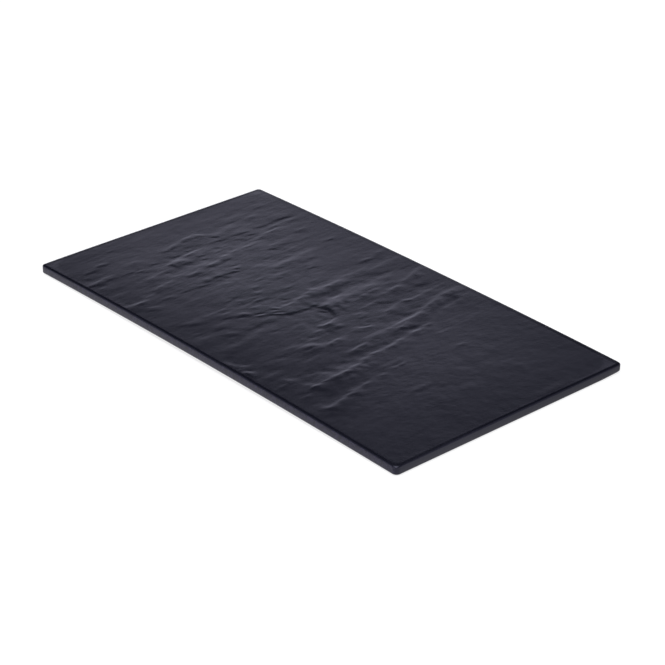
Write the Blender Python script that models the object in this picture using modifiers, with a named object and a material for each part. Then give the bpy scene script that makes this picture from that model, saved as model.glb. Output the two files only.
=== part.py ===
"""A slate-look melamine serving platter of gastronorm 1/3 size, standing on four non-slip feet.

Metres, +Z up. X runs along the platter's length and Y across its width. The table is at Z = 0.
"""

import math

import bmesh
import bpy
from mathutils import Matrix, Vector

# Moulded body
LENGTH = 0.325
WIDTH = 0.176
THICKNESS = 0.006
CROWN = 0.0018  # how far the middle of the length rises above the two short ends
CORNER_RADIUS = 0.0025  # in plan
TOP_EDGE_RADIUS = 0.0020
BOTTOM_EDGE_RADIUS = 0.001
END_CLEARANCE = 0.0005  # from the table up to the underside of the short ends

# Shallow recess moulded into the underside
BASE_LAND = 0.010  # width of the land left around it
RECESS_DEPTH = 0.0008
RECESS_CORNER_RADIUS = 0.006
RECESS_FILLET = 0.0006

# Non-slip feet, each held in a round pocket by an adhesive disc
FOOT_INSET = 0.026  # from the long and the short edge to the foot's centre
FOOT_DIAMETER = 0.012
FOOT_EDGE_RADIUS = 0.0006
POCKET_DEPTH = 0.002  # below the recess's floor
POCKET_CLEARANCE = 0.0003  # radial, between a foot and its pocket
ADHESIVE_THICKNESS = 0.0005
ADHESIVE_MARGIN = 0.0008  # radial, by which the disc is smaller than the foot
SEAT_GAP = 0.0003  # between faces that bear on each other

# Fineness of the curved faces
CROWN_STRIPS = 15  # an odd count leaves a level strip across the middle
CORNER_SEGMENTS = 6
EDGE_SEGMENTS = 4
ROUND_STEPS = 32
EDGE_SHARE = 0.45  # the most of a wall that one rounded edge may take
SHARP_ANGLE = math.radians(35)

# Linear RGB and roughness
MELAMINE_BLACK = ((0.006, 0.0065, 0.0105), 0.25)
SILICONE_GREY = ((0.035, 0.035, 0.037), 0.62)
ADHESIVE_WHITE = ((0.62, 0.60, 0.55), 0.70)

FOOT_ROWS = {"near": -1, "far": 1}
FOOT_SIDES = {"left": -1, "right": 1}


def crown_at(x):
    """How far the arched moulding stands above its short ends at x."""
    return CROWN * (1 - (2 * x / LENGTH) ** 2)


def foot_centres():
    """Name and place on the table of each foot."""
    for row_name, row in FOOT_ROWS.items():
        for side_name, side in FOOT_SIDES.items():
            x = side * (LENGTH / 2 - FOOT_INSET)
            y = row * (WIDTH / 2 - FOOT_INSET)
            yield f"{row_name}_{side_name}", Vector((x, y, 0))


def pocket_floor():
    """Height of every pocket's floor above the table."""
    underside = END_CLEARANCE + crown_at(LENGTH / 2 - FOOT_INSET)
    return underside + RECESS_DEPTH + POCKET_DEPTH


def clear_scene():
    for obj in list(bpy.data.objects):
        bpy.data.objects.remove(obj, do_unlink=True)


def make_collection(name):
    collection = bpy.data.collections.new(name)
    bpy.context.scene.collection.children.link(collection)
    return collection


def make_material(name, colour, roughness):
    material = bpy.data.materials.new(name)
    material.use_nodes = True
    shader = material.node_tree.nodes["Principled BSDF"]
    shader.inputs["Base Color"].default_value = (*colour, 1)
    shader.inputs["Roughness"].default_value = roughness
    shader.inputs["Metallic"].default_value = 0
    return material


def add_object(name, bm, collection, material=None):
    mesh = bpy.data.meshes.new(name)
    bm.to_mesh(mesh)
    bm.free()
    mesh.shade_smooth()
    mesh.set_sharp_from_angle(angle=SHARP_ANGLE)
    if material:
        mesh.materials.append(material)
    obj = bpy.data.objects.new(name, mesh)
    collection.objects.link(obj)
    return obj


def round_edges(bm, edges, radius, segments):
    bmesh.ops.bevel(
        bm, geom=edges, offset=radius, offset_type="OFFSET", segments=segments, profile=0.5, affect="EDGES"
    )
    bm.normal_update()


def rounded_slab(length, width, bottom, top, corner_radius, top_radius, bottom_radius):
    """A level slab with round corners in plan and round edges above and below."""
    height = top - bottom
    bm = bmesh.new()
    middle = Matrix.Translation((0, 0, (top + bottom) / 2))
    bmesh.ops.create_cube(bm, size=1, matrix=middle @ Matrix.Diagonal((length, width, height, 1)))
    uprights = [e for e in bm.edges if abs(e.verts[0].co.z - e.verts[1].co.z) > height / 2]
    round_edges(bm, uprights, corner_radius, CORNER_SEGMENTS)
    largest = EDGE_SHARE * min(height, 2 * corner_radius)
    for up, radius in ((1, top_radius), (-1, bottom_radius)):
        if radius:
            face = max(bm.faces, key=lambda f: up * f.normal.z)
            round_edges(bm, list(face.edges), min(radius, largest), EDGE_SEGMENTS)
    return bm


def arch(bm):
    """Cuts a slab into strips across its length and lifts them to the crown."""
    for strip in range(1, CROWN_STRIPS):
        x = LENGTH * (strip / CROWN_STRIPS - 0.5)
        geometry = bm.verts[:] + bm.edges[:] + bm.faces[:]
        bmesh.ops.bisect_plane(bm, geom=geometry, plane_co=(x, 0, 0), plane_no=(1, 0, 0))
    for vert in bm.verts:
        vert.co.z += crown_at(vert.co.x)


def cylinder(radius, bottom, top):
    bm = bmesh.new()
    middle = Matrix.Translation((0, 0, (top + bottom) / 2))
    bmesh.ops.create_cone(
        bm,
        cap_ends=True,
        segments=ROUND_STEPS,
        radius1=radius,
        radius2=radius,
        depth=top - bottom,
        matrix=middle,
    )
    return bm


def make_recess_cutter(collection):
    bm = rounded_slab(
        length=LENGTH - 2 * BASE_LAND,
        width=WIDTH - 2 * BASE_LAND,
        bottom=END_CLEARANCE - THICKNESS / 2,
        top=END_CLEARANCE + RECESS_DEPTH,
        corner_radius=RECESS_CORNER_RADIUS,
        top_radius=RECESS_FILLET,
        bottom_radius=0,
    )
    arch(bm)
    return add_object("recess_cutter", bm, collection)


def make_pocket_cutter(name, centre, collection):
    bm = cylinder(FOOT_DIAMETER / 2 + POCKET_CLEARANCE, 0, pocket_floor())
    cutter = add_object(name, bm, collection)
    cutter.location = centre
    return cutter


def cut(obj, cutter):
    cutter.hide_render = True
    cutter.display_type = "WIRE"
    modifier = obj.modifiers.new(cutter.name, "BOOLEAN")
    modifier.operation = "DIFFERENCE"
    modifier.object = cutter


def make_body(parts, cutters):
    bm = rounded_slab(
        length=LENGTH,
        width=WIDTH,
        bottom=END_CLEARANCE,
        top=END_CLEARANCE + THICKNESS,
        corner_radius=CORNER_RADIUS,
        top_radius=TOP_EDGE_RADIUS,
        bottom_radius=BOTTOM_EDGE_RADIUS,
    )
    arch(bm)
    body = add_object("platter_body", bm, parts, make_material("black_melamine", *MELAMINE_BLACK))
    cut(body, make_recess_cutter(cutters))
    for place, centre in foot_centres():
        cut(body, make_pocket_cutter(f"pocket_cutter_{place}", centre, cutters))


def quarter_arc(x, z, radius, start):
    """Points of a quarter circle about (x, z), turning clockwise from the angle start in degrees."""
    for step in range(EDGE_SEGMENTS + 1):
        angle = math.radians(start - 90 * step / EDGE_SEGMENTS)
        yield Vector((x + radius * math.cos(angle), 0, z + radius * math.sin(angle)))


def make_foot(name, centre, parts, material):
    """A silicone button, flat above and below, turned about its own upright axis."""
    radius = FOOT_DIAMETER / 2
    height = pocket_floor() - ADHESIVE_THICKNESS - 2 * SEAT_GAP
    edge = min(FOOT_EDGE_RADIUS, EDGE_SHARE * height)
    profile = [
        Vector((0, 0, height)),
        *quarter_arc(radius - edge, height - edge, edge, 90),
        *quarter_arc(radius - edge, edge, edge, 0),
        Vector((0, 0, 0)),
    ]
    bm = bmesh.new()
    points = [bm.verts.new(point) for point in profile]
    for upper, lower in zip(points, points[1:]):
        bm.edges.new((upper, lower))
    foot = add_object(name, bm, parts, material)
    foot.location = centre
    screw = foot.modifiers.new("turned", "SCREW")
    screw.steps = screw.render_steps = ROUND_STEPS
    screw.use_merge_vertices = True
    screw.merge_threshold = 1e-5
    screw.use_smooth_shade = True


def make_adhesive_disc(name, centre, parts, material):
    top = pocket_floor() - SEAT_GAP
    bm = cylinder(FOOT_DIAMETER / 2 - ADHESIVE_MARGIN, top - ADHESIVE_THICKNESS, top)
    disc = add_object(name, bm, parts, material)
    disc.location = centre


def main():
    clear_scene()
    parts = make_collection("melamine_platter")
    cutters = make_collection("cutters")
    make_body(parts, cutters)
    silicone = make_material("grey_silicone", *SILICONE_GREY)
    adhesive = make_material("white_adhesive", *ADHESIVE_WHITE)
    for place, centre in foot_centres():
        make_foot(f"non_slip_foot_{place}", centre, parts, silicone)
        make_adhesive_disc(f"adhesive_disc_{place}", centre, parts, adhesive)


main()
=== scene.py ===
"""The looks of a slate-look melamine platter: its relief, its finishes, a studio and the photograph's view.

Metres, in the CAD frame: +X along the length, -Y towards the near long edge, +Z up, the table at Z = 0.
The slate's relief is written in millimetres, with x from the left end and y from the far long edge.
"""

import math

import bpy
import numpy as np
from mathutils import Matrix, Vector


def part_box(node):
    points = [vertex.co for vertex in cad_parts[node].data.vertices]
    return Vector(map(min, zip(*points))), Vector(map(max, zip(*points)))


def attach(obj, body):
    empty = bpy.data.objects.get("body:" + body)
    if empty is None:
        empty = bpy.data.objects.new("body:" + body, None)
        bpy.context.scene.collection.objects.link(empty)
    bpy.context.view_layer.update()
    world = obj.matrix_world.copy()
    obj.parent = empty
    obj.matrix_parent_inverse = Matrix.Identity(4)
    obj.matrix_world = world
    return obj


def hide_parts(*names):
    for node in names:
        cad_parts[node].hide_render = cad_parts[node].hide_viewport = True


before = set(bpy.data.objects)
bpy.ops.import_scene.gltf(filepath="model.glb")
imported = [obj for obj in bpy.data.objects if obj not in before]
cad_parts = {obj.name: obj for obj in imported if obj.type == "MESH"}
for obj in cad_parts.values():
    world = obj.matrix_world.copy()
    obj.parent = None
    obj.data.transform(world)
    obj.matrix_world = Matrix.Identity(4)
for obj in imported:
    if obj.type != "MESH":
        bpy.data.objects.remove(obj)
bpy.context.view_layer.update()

MM = 0.001

# The moulding, as the CAD has it
LENGTH = 0.325
WIDTH = 0.176
THICKNESS = 0.006
CROWN = 0.0018  # how far the middle of the length rises above the two short ends
TOP_EDGE_RADIUS = 0.0020
BOTTOM_EDGE_RADIUS = 0.001
END_CLEARANCE = 0.0005  # from the table up to the underside of the short ends
BASE_LAND = 0.010
RECESS_DEPTH = 0.0008
RECESS_CORNER_RADIUS = 0.006
RECESS_FILLET = 0.0006
POCKET_RADIUS = 0.0063
POCKET_FLOOR = 0.00383  # above the table
FOOT_INSET = 0.026  # from the long and the short edge to the foot's centre
FOOT_CENTRES = {
    f"{row}_{side}": (towards_x * (LENGTH / 2 - FOOT_INSET), towards_y * (WIDTH / 2 - FOOT_INSET))
    for row, towards_y in (("near", -1), ("far", 1))
    for side, towards_x in (("left", -1), ("right", 1))
}

# What the moulding has beyond the CAD: a flatter top edge, and corners that aren't alike
TOP_EDGE_DROP = 0.0014
CORNER_RADII = np.array((0.0025, 0.0030, 0.0026, 0.0025))  # near left, near right, far right, far left
TOP_CORNER_RADII = np.array((0.0008, 0.0050, 0.0032, 0.0010))  # the same corners of the slate face
BASE_CORNER_RADII = np.array((0.0015, 0.0024, 0.0055, 0.0015))  # and of the underside
WORN_RISE = 0.0007  # how far the far right corner's lower edge is worn away
WORN_REACH = 0.006  # and how far round that corner

# The feet's rounded edges and the ring grooves in their soles
FOOT_EDGE_RADIUS = 0.0006
FOOT_EDGE_STEPS = 5
GROOVE_DEPTH = 0.0003
GROOVE_BEVEL = 0.00012
GROOVE_RADII = ((0.0046, 0.0041), (0.0031, 0.0026), (0.0016, 0.0011))  # outer and inner

# Fineness of the meshes
LONG_STEPS = 623
END_STEPS = 127
SPARSE_RIGHT = (0.74, 0.82, 0.5)  # shares of the length over which the stations thin out, and by how much
DENSE_START = (0.26, 0.32)  # shares of the width over which the stations draw together
DENSE_END = (0.56, 0.62)  # and draw apart again
DENSER = 0.6  # by which share
CORNER_STEPS = 7
EDGE_STEPS = 7
COARSE = 8  # the underside keeps every eighth station of the top
ROUND_STEPS = 64
SHARP_ANGLE = math.radians(35)

# The photograph's camera, with angles in degrees
PHOTO_SIDE = 665  # pixels
FOCAL_PIXELS = 2275  # focal length
SENSOR = 36  # millimetres
VIEW_AZIMUTH = 48.64  # round from -Y towards +X
VIEW_ELEVATION = 27.66
VIEW_ROLL = 0.08
VIEW_DISTANCE = 1.3588
CENTRE_RIGHT = -12.98  # pixels from the picture's middle to the middle of the platter's underside
CENTRE_DOWN = -12.55

# Finishes: pairs of linear colours that clouds, grit or patches blend
FACE_COLOURS = ((0.0038, 0.0042, 0.0075), (0.0078, 0.0082, 0.0130))
# The long walls' pair is painted light: paler than the face and the short ends, with random patches
PAINTED_LIGHT_WALL_COLOURS = ((0.0045, 0.0040, 0.0080), (0.0215, 0.0190, 0.0370))
WALL_SLOPE = (0.8, 0.95)  # sideways share of the normal, from a rim to a long wall
GLOSS_TINT = (0.75, 0.73, 1.0, 1)
SILICONE_COLOURS = ((0.027, 0.027, 0.029), (0.044, 0.044, 0.046))
ADHESIVE_COLOURS = ((0.55, 0.53, 0.47), (0.68, 0.66, 0.62))

# Painted shade: shares of the melamine's gloss that are taken away to darken it, and the zones in which
# that grows or fades
EDGE_PAINTED_SHADE = 0.30
EDGE_GROWS = (0.001, 0.004)  # from an edge inwards
EDGE_FADES = (0, 0.078)
EDGE_BLEND = 0.03  # how softly a side's zone runs into an end's
FAR_RIGHT_PAINTED_SHADE = 0.22
# Gloss given back at the near right, as painted light
NEAR_RIGHT_PAINTED_LIGHT = 0.26  # regained
NEAR_LEFT_PAINTED_SHADE = 0.12
RIGHT_ZONE = (0.02, 0.16)  # along x
LEFT_ZONE = (-0.16, -0.05)
FAR_ZONE = (-0.07, 0.08)  # along y
NEAR_ZONE = (-0.088, -0.02)
# Painted shade: a dark line along the rims, from gloss taken away there
RIM_PAINTED_SHADE = 0.9
RIM_ZONE = (0.0018, 0.0024)  # from an edge inwards
RIM_SLOPE = (0.72, 0.84)  # upward share of the normal, from the wall to the rim
FACE_SLOPE = (0.972, 0.99)  # and from the rim to the face
GLOSSY_END_X = (0.150, 0.158)  # the near half of the right end keeps its gloss
GLOSSY_END_Y = (-0.065, 0)
FRONT_CORNER_ZONE = (0.004, 0.014)  # and so does the near right corner
BACK_RIM_PAINTED_SHADE = 0.3  # along the far edge and the left end
BACK_RIGHT_PAINTED_SHADE = 0.2  # more of it at the right
BACK_RIM_ZONE = (0.0034, 0.0042)

# The studio, with directions in degrees round from -Y towards +X and up
BAND_LEVELS = (  # elevation and brightness, from the pale band up to the dim ceiling
    (0, 0.95),
    (18, 0.95),
    (21, 0.88),
    (24, 0.72),
    (27, 0.50),
    (30, 0.25),
    (33, 0.08),
    (36, 0.045),
    (90, 0.04),
)
BAND_TINT = (0.956, 0.952, 1.131)
SIDE_AZIMUTH = 138.6
BACK_AZIMUTH = 228.6
BAND_LEAN = 0.37  # how much higher the band stands between that side and the back
BAND_RISE = 0.12  # and at either side
BAND_SIDES = (0.45, 0.75)  # how far sideways a direction points, where that starts and ends
FLAG_LOSS = 0.45  # share of the light that the flags take at either side
FLAG_SIDES = (0.70, 0.95)
SOFTBOX_AIM = (40, 72)
SOFTBOX_EDGE = (38, 8)  # degrees from its middle over which it brightens
SOFTBOX_STRENGTH = 3.0
KEY_AIM = (40, 58)
KEY_SPREAD = math.radians(16)
KEY_STRENGTH = 0.3 * math.pi
TABLE_REACH = 12
TABLE_GREY = (0.30, 0.30, 0.30, 1)
TABLE_GLOW = 0.76  # what the camera and reflections see on top of the light on it
WHITE = (1, 1, 1, 1)

# The slate's edges: tilt in degrees at an edge's middle, its half width, and the places it runs through
# A tilt above 0 rises towards the right and the near edge, and one below 0 falls that way
SLATE_EDGES = (
    # The cleft at the left and the broken edges beside it
    (-6.5, 0.9, ((48.9, 12.5), (48.7, 16), (48, 21), (48.3, 28))),
    (-3.3, 0.7, ((48.3, 27), (48.6, 34), (48.5, 46))),
    (-4, 0.7, ((48.8, 49), (48.7, 56), (48, 64))),
    (-4.6, 0.8, ((47.8, 68), (47.8, 73), (48.2, 76.5))),
    (2.5, 1.2, ((51.6, 7), (51.9, 16), (52, 25))),
    (5, 0.9, ((51.8, 27.5), (52.2, 31))),
    (2.5, 1.1, ((52.6, 33), (52.6, 38))),
    (-2.6, 0.8, ((55.4, 13), (55.8, 18), (56, 23))),
    (-3.2, 0.8, ((55, 29), (55.6, 33))),
    (6.8, 1.1, ((57.5, 30), (57.7, 34), (58.1, 39), (58.2, 44.5))),
    (5, 1.0, ((59, 47), (60.6, 50.5))),
    (4.5, 1.5, ((63.2, 54), (64.4, 57), (65, 62))),
    (4.5, 1.0, ((65, 61), (65.1, 68))),
    (4.5, 0.9, ((65.2, 71.5), (65.9, 77.5))),
    (5, 1.0, ((66.6, 80), (67.4, 86.5))),
    (6, 0.9, ((68.9, 87), (70, 92), (71, 98), (71.8, 102.5))),
    (5, 1.0, ((71.4, 105.5), (73.4, 111), (75, 118))),
    (-6.5, 0.9, ((54.6, 49), (54, 54))),
    (-5.5, 0.7, ((62.5, 50), (63.4, 54))),
    (-4, 0.8, ((58, 54), (58.6, 57.2))),
    (-3.5, 0.7, ((58.8, 58), (55.4, 60.8), (52.2, 65))),
    (3, 1.0, ((42.2, 12), (43, 18))),
    (3, 0.8, ((45.8, 38), (46.4, 41.5))),
    (-2.5, 0.8, ((56.4, 77), (54.2, 83.4))),
    (2.5, 1.0, ((58, 78), (58.4, 83.5))),
    # The left end
    (2, 2.0, ((19.5, 16), (20.5, 22))),
    (-1.7, 1.6, ((24.6, 19), (25.4, 26))),
    (2, 2.0, ((28.6, 21), (30, 27))),
    (2.6, 1.9, ((23.6, 36), (24.8, 42), (26.6, 48))),
    (3, 1.8, ((31, 31), (32, 36))),
    (-3.5, 1.2, ((29.6, 46), (31.2, 52.5))),
    (3.2, 1.7, ((33, 50), (34.6, 55), (36, 60))),
    (3, 1.6, ((36.6, 62), (38.6, 69))),
    (-6, 0.8, ((39.8, 71.6), (41.6, 70.4), (44, 69.2))),
    (5, 0.9, ((34.6, 72.6), (32, 76), (28.8, 79.4))),
    (-1.8, 0.8, ((36.2, 73), (35, 78))),
    (5.5, 1.1, ((29, 78.6), (29.8, 86), (31.4, 93.6))),
    (4.5, 1.0, ((31.6, 94), (33, 99), (34.8, 104.5))),
    (3, 1.4, ((34.6, 104), (35.6, 110))),
    (-3.3, 1.0, ((35.4, 94), (37, 101), (39, 111))),
    (-1.6, 1.0, ((41.6, 88), (42.2, 98))),
    (-4, 1.0, ((14, 131), (14.8, 135))),
    (4.5, 0.9, ((25, 146.5), (25.4, 153))),
    (-3.2, 1.1, ((27.8, 145), (28, 152))),
    (-2.6, 1.5, ((31.2, 154.5), (31.6, 166))),
    (3, 1.4, ((36, 129), (37, 138))),
    (2, 1.6, ((27, 155), (28, 166))),
    (3.6, 1.5, ((42, 154), (43.4, 160))),
    (6.5, 1.4, ((43.8, 160), (44.8, 167), (45.6, 174))),
    (-2.4, 1.0, ((38.6, 166), (36.4, 171))),
    (4, 1.0, ((53, 165), (53.2, 172))),
    (2.5, 1.1, ((67, 159), (68.4, 172))),
    # Near half of the cleft
    (5, 0.9, ((49.2, 85.5), (49.4, 91), (49.4, 96))),
    (7.5, 0.9, ((49.4, 95.5), (50, 103))),
    (4, 0.9, ((50.6, 103), (51.4, 106))),
    (7, 1.6, ((53.2, 107.5), (52.3, 114.5))),
    (5, 1.0, ((53, 114.5), (53.6, 118.5))),
    (-5, 0.9, ((48.4, 104.5), (48.4, 110))),
    (-3, 0.8, ((46.6, 92), (46.6, 99))),
    (2.5, 0.8, ((45, 93), (45, 99))),
    (-5, 0.9, ((47.9, 121.5), (47.9, 126))),
    (-3, 0.6, ((48, 130), (48, 150))),
    (-5.5, 0.9, ((47.3, 152), (47.6, 158), (47.4, 165))),
    (-4.8, 0.9, ((47.6, 167), (48, 175))),
    (-6.5, 0.5, ((54.8, 117), (58, 116.8), (62, 116))),
    (-6, 0.9, ((58.2, 92.5), (58.6, 97))),
    (-4.8, 0.9, ((63.6, 93.5), (63.2, 99))),
    (-4.5, 1.4, ((61.2, 102), (60.6, 109), (60.6, 116))),
    (-3.5, 1.2, ((62.6, 120.5), (62.4, 130))),
    (3, 1.5, ((59.4, 127), (60, 133))),
    (3.5, 1.6, ((61, 134), (62.4, 141.5))),
    (5.5, 0.8, ((48.8, 133.5), (49.6, 139.5))),
    (-5, 0.7, ((51.2, 136.4), (51.4, 139.8))),
    (-2.5, 1.0, ((53.6, 129), (54, 136))),
    (2, 3.2, ((66, 97), (67.6, 106), (69, 116))),
    (2.5, 1.6, ((69.4, 117), (70.4, 128))),
    (-2.5, 0.8, ((57.8, 144.5), (58.4, 148.6))),
    # The long slanting edge and the flakes to its right
    (-6, 0.9, ((73.5, 85.6), (73.7, 88.4))),
    (-6.5, 0.9, ((74.3, 92.8), (74.6, 95.6))),
    (-6, 0.9, ((74.5, 99.2), (74.7, 102))),
    (-4, 0.9, ((76.4, 111), (77, 115))),
    (-5, 0.9, ((77.2, 115.5), (77.4, 120.5))),
    (5.5, 0.9, ((74, 130), (74.8, 136.6))),
    (7.5, 0.8, ((75.2, 138.8), (76, 142.8))),
    (3.5, 0.9, ((76.4, 143), (77.6, 146.6))),
    (4.4, 1.0, ((76.6, 148), (79.6, 147.8), (81.4, 151), (81.6, 155.5))),
    (9, 1.5, ((83.8, 159), (84.6, 165.5), (85, 173))),
    (6, 0.8, ((85.2, 172.4), (82.6, 173.6))),
    (3, 1.5, ((67.6, 16), (68, 24))),
    (-2, 1.5, ((71.6, 22), (72.2, 28.5))),
    (2.5, 1.3, ((73.6, 41), (74.4, 46))),
    (5, 1.2, ((74.6, 47), (75.2, 53))),
    (-2, 2.2, ((79, 34), (79.8, 48))),
    (-4.4, 1.4, ((78.8, 55.6), (80.2, 53.2))),
    (2, 1.8, ((85.4, 42), (86.2, 48))),
    (3.5, 0.9, ((90.4, 14.5), (91.8, 20))),
    (-4, 0.8, ((94.2, 17), (93.8, 22))),
    (4, 1.6, ((96.4, 38), (97, 44), (96.8, 48))),
    (4.5, 1.6, ((97.8, 50), (98.2, 56), (99, 62), (100.2, 69))),
    (-3.5, 1.1, ((103.8, 67), (104.4, 72.5))),
    (-6, 1.0, ((87.8, 64), (88.3, 69))),
    (3, 1.2, ((91.3, 75), (91.9, 82))),
    (-5, 0.7, ((82.4, 86.6), (82.8, 90))),
    (5.5, 0.7, ((84.4, 86.6), (85.2, 91))),
    (-6.5, 0.7, ((87.8, 89), (86.2, 91.6))),
    (-6.5, 0.8, ((90.8, 91.8), (89.2, 95))),
    (-4.5, 1.0, ((89.4, 95), (89.1, 101))),
    (-4.5, 0.9, ((88.8, 101.5), (88.7, 107.5))),
    (-5, 1.0, ((89, 108), (90, 114.5))),
    (-5.5, 1.0, ((92.2, 117.5), (92.6, 125))),
    (-3, 1.2, ((91.6, 127), (91.6, 137))),
    (-3.2, 0.9, ((95.6, 145), (92.6, 146), (92.8, 157))),
    (-1.6, 3.5, ((92, 97), (92.4, 113))),
    (3, 1.5, ((85.4, 104), (85.6, 117))),
    (2.8, 1.3, ((90, 141), (90.2, 151))),
    (4.5, 0.7, ((97.4, 158), (93.8, 164))),
    (-3, 0.9, ((99.6, 162.6), (98, 166))),
    (2.2, 1.4, ((97.8, 99), (98.6, 111))),
    # Ripples between the flakes and the raised layer
    (-2.2, 1.1, ((106.8, 42), (107.4, 52))),
    (2, 1.5, ((102.6, 42), (103.4, 48))),
    (1.8, 1.6, ((110.8, 44), (112.6, 51))),
    (-4, 1.1, ((117.5, 51.5), (117, 57.8))),
    (1.8, 1.4, ((120.6, 18), (121.4, 25))),
    (-2.2, 0.9, ((107, 72), (107.4, 78))),
    (2.5, 1.2, ((109.4, 67), (110.2, 74), (110.8, 80.5))),
    (-1.9, 1.0, ((114.6, 76), (115.2, 82.5))),
    (2, 1.1, ((105.6, 83), (106.8, 88), (107.4, 94))),
    (-2.2, 0.8, ((109, 87), (109.2, 91))),
    (2.2, 1.2, ((113.2, 94), (113.8, 103.5))),
    (-2.2, 1.2, ((116.8, 96), (117.2, 103))),
    (2.1, 1.0, ((121.2, 97), (120.4, 101), (119.4, 105))),
    (-2.1, 1.0, ((124, 100), (123, 105.5))),
    (2.3, 1.0, ((124.8, 105), (123.8, 112))),
    (2.2, 0.9, ((128.4, 105.5), (128.8, 110.5))),
    (-1.9, 1.0, ((131.4, 101), (131, 112.5))),
    (2.2, 1.1, ((134.6, 101), (135, 107))),
    (2, 1.5, ((136.8, 110), (135.2, 114))),
    (2.2, 1.2, ((125.8, 74), (126.8, 88))),
    (-2.2, 1.0, ((128.8, 81), (128.6, 87))),
    (-2.2, 1.2, ((129.2, 90), (128.8, 97.5))),
    (2, 1.3, ((133.6, 82), (134.4, 94))),
    (-3, 0.9, ((139.4, 92), (138, 97.6))),
    (2.5, 0.9, ((141.4, 93), (140.6, 98.5))),
    (2.2, 1.2, ((130.4, 62), (131, 68))),
    (2, 1.3, ((107.2, 102), (108.2, 116))),
    (2.5, 1.2, ((123.2, 113), (122.4, 119))),
    (-2.5, 0.8, ((127.2, 117.5), (127, 122))),
    (2.5, 1.0, ((130, 114), (129.6, 121))),
    (2.2, 1.2, ((135.2, 113), (133.4, 120))),
    (-2.5, 0.8, ((126, 124), (125.8, 128.5))),
    (-2, 1.0, ((117.8, 112), (118.6, 119))),
    (-3.5, 1.0, ((118.6, 119.5), (119.6, 124), (120.8, 127.8))),
    (3, 1.1, ((125, 129), (125.4, 135.5))),
    (2, 1.2, ((125.6, 136), (125.8, 146))),
    (-2.5, 0.8, ((127.8, 130), (127.8, 136))),
    (3, 1.0, ((130, 131), (130.2, 138))),
    (2.4, 1.3, ((126, 150), (125.2, 161))),
    (-1.8, 1.2, ((131, 146), (131.2, 153), (129, 160), (126.4, 164.4))),
    (2.2, 1.2, ((138.6, 141), (139.2, 151))),
    (2, 1.7, ((146.4, 155), (147, 172))),
    (-2.2, 1.3, ((146.2, 144.5), (142.8, 151.4))),
    # Left of the raised layer
    (-4, 1.0, ((130.6, 4), (131, 11))),
    (2.5, 1.0, ((126.4, 3), (127.6, 10))),
    (-4.4, 0.8, ((132.4, 13), (132.6, 20), (132.8, 28.5))),
    (4, 0.9, ((129, 15), (130, 20), (130, 26))),
    (2.5, 1.6, ((140.5, 2), (141, 15), (143, 31))),
    (2.5, 1.4, ((138, 26), (139, 40), (140.2, 50))),
    (7, 1.3, ((140.8, 51.5), (141.2, 57), (141.8, 63), (142.4, 68))),
    (6, 0.8, ((141.2, 71), (139.8, 73.4), (137.8, 74.8))),
    (5.5, 1.3, ((141.4, 76), (141.9, 82))),
    (6, 1.3, ((142.8, 84), (144, 91))),
    (6, 1.2, ((144.8, 93), (145.4, 98), (145, 103.5))),
    (6, 0.9, ((145.6, 105.6), (142.8, 107.4))),
    (-1.4, 1.6, ((152, 18), (151, 26), (149.4, 31), (149, 37))),
    (-3.2, 1.1, ((147, 48.5), (147.2, 52.5))),
    (-4.2, 1.1, ((147.4, 55), (147.9, 59.6))),
    (-2.2, 2.4, ((148, 64), (150.4, 71), (148, 79))),
    # The raised layer in the middle
    (3, 2.4, ((155, 20), (156, 30), (155.6, 37))),
    (2.6, 1.4, ((156.4, 39), (155.4, 45), (154.8, 52), (155.2, 60), (156.8, 70), (157.6, 76))),
    (2.8, 1.6, ((157.8, 41), (158.2, 45), (157.8, 49))),
    (2.4, 3.8, ((159.8, 38), (160.4, 46), (159.6, 54), (160, 62), (161.2, 70), (162.4, 78))),
    (5, 1.3, ((157.6, 70), (158, 74))),
    (6, 1.6, ((158.4, 76), (159.2, 80), (160, 86))),
    (1.6, 2.0, ((162, 75), (163, 79))),
    (6, 1.0, ((158.4, 2), (161.6, 8), (164.6, 15), (166.4, 20), (168.2, 26))),
    (10, 1.1, ((170.4, 30), (170.9, 35), (171.4, 41))),
    (3.4, 1.0, ((171.2, 43), (172.2, 47), (173.8, 52))),
    (-3, 0.8, ((172.4, 56.8), (176, 53))),
    (5.5, 1.0, ((176.6, 55), (177.8, 58), (178.2, 63))),
    (3, 1.0, ((178.4, 63), (179.4, 69))),
    (3.8, 1.0, ((163.2, 29.5), (163.6, 36.5))),
    (3.8, 0.9, ((164.4, 43), (165.4, 50.5))),
    (3.2, 1.0, ((166, 51), (167, 59), (168.2, 67))),
    (2.5, 0.9, ((169, 70), (172, 78.5))),
    (-1.5, 2.4, ((170, 8), (171.4, 20))),
    (-3.3, 1.8, ((179.2, 13.5), (178.4, 25))),
    (-3.5, 0.9, ((180.8, 29.5), (181.2, 33.5))),
    (-3.2, 2.0, ((184, 46), (183, 51), (181.6, 54))),
    (-4.5, 0.8, ((179.4, 56), (182.6, 55.2))),
    # The two stepped edges right of it
    (2.5, 1.3, ((185.4, 8), (186.2, 16))),
    (6.2, 1.0, ((186, 17), (187.2, 23), (188, 28))),
    (7, 1.0, ((188, 28), (188.6, 33), (189.4, 37))),
    (7.5, 0.9, ((189.4, 37), (188, 39.4), (186.6, 41.4))),
    (4, 0.9, ((186.6, 43), (187.8, 48), (189, 52))),
    (8.5, 1.0, ((189.4, 52.6), (190.6, 56), (191.6, 60.5))),
    (-2.6, 1.2, ((189.4, 42), (191.6, 39.6))),
    (5, 2.2, ((195.8, 8), (195.6, 15))),
    (6, 2.0, ((196, 14), (196.8, 21), (199.2, 28), (201, 33.4))),
    (7, 1.1, ((201.2, 33), (201.8, 37))),
    (5, 1.0, ((201, 38), (201.6, 44))),
    (5, 1.0, ((201.8, 37), (204.2, 42))),
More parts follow.
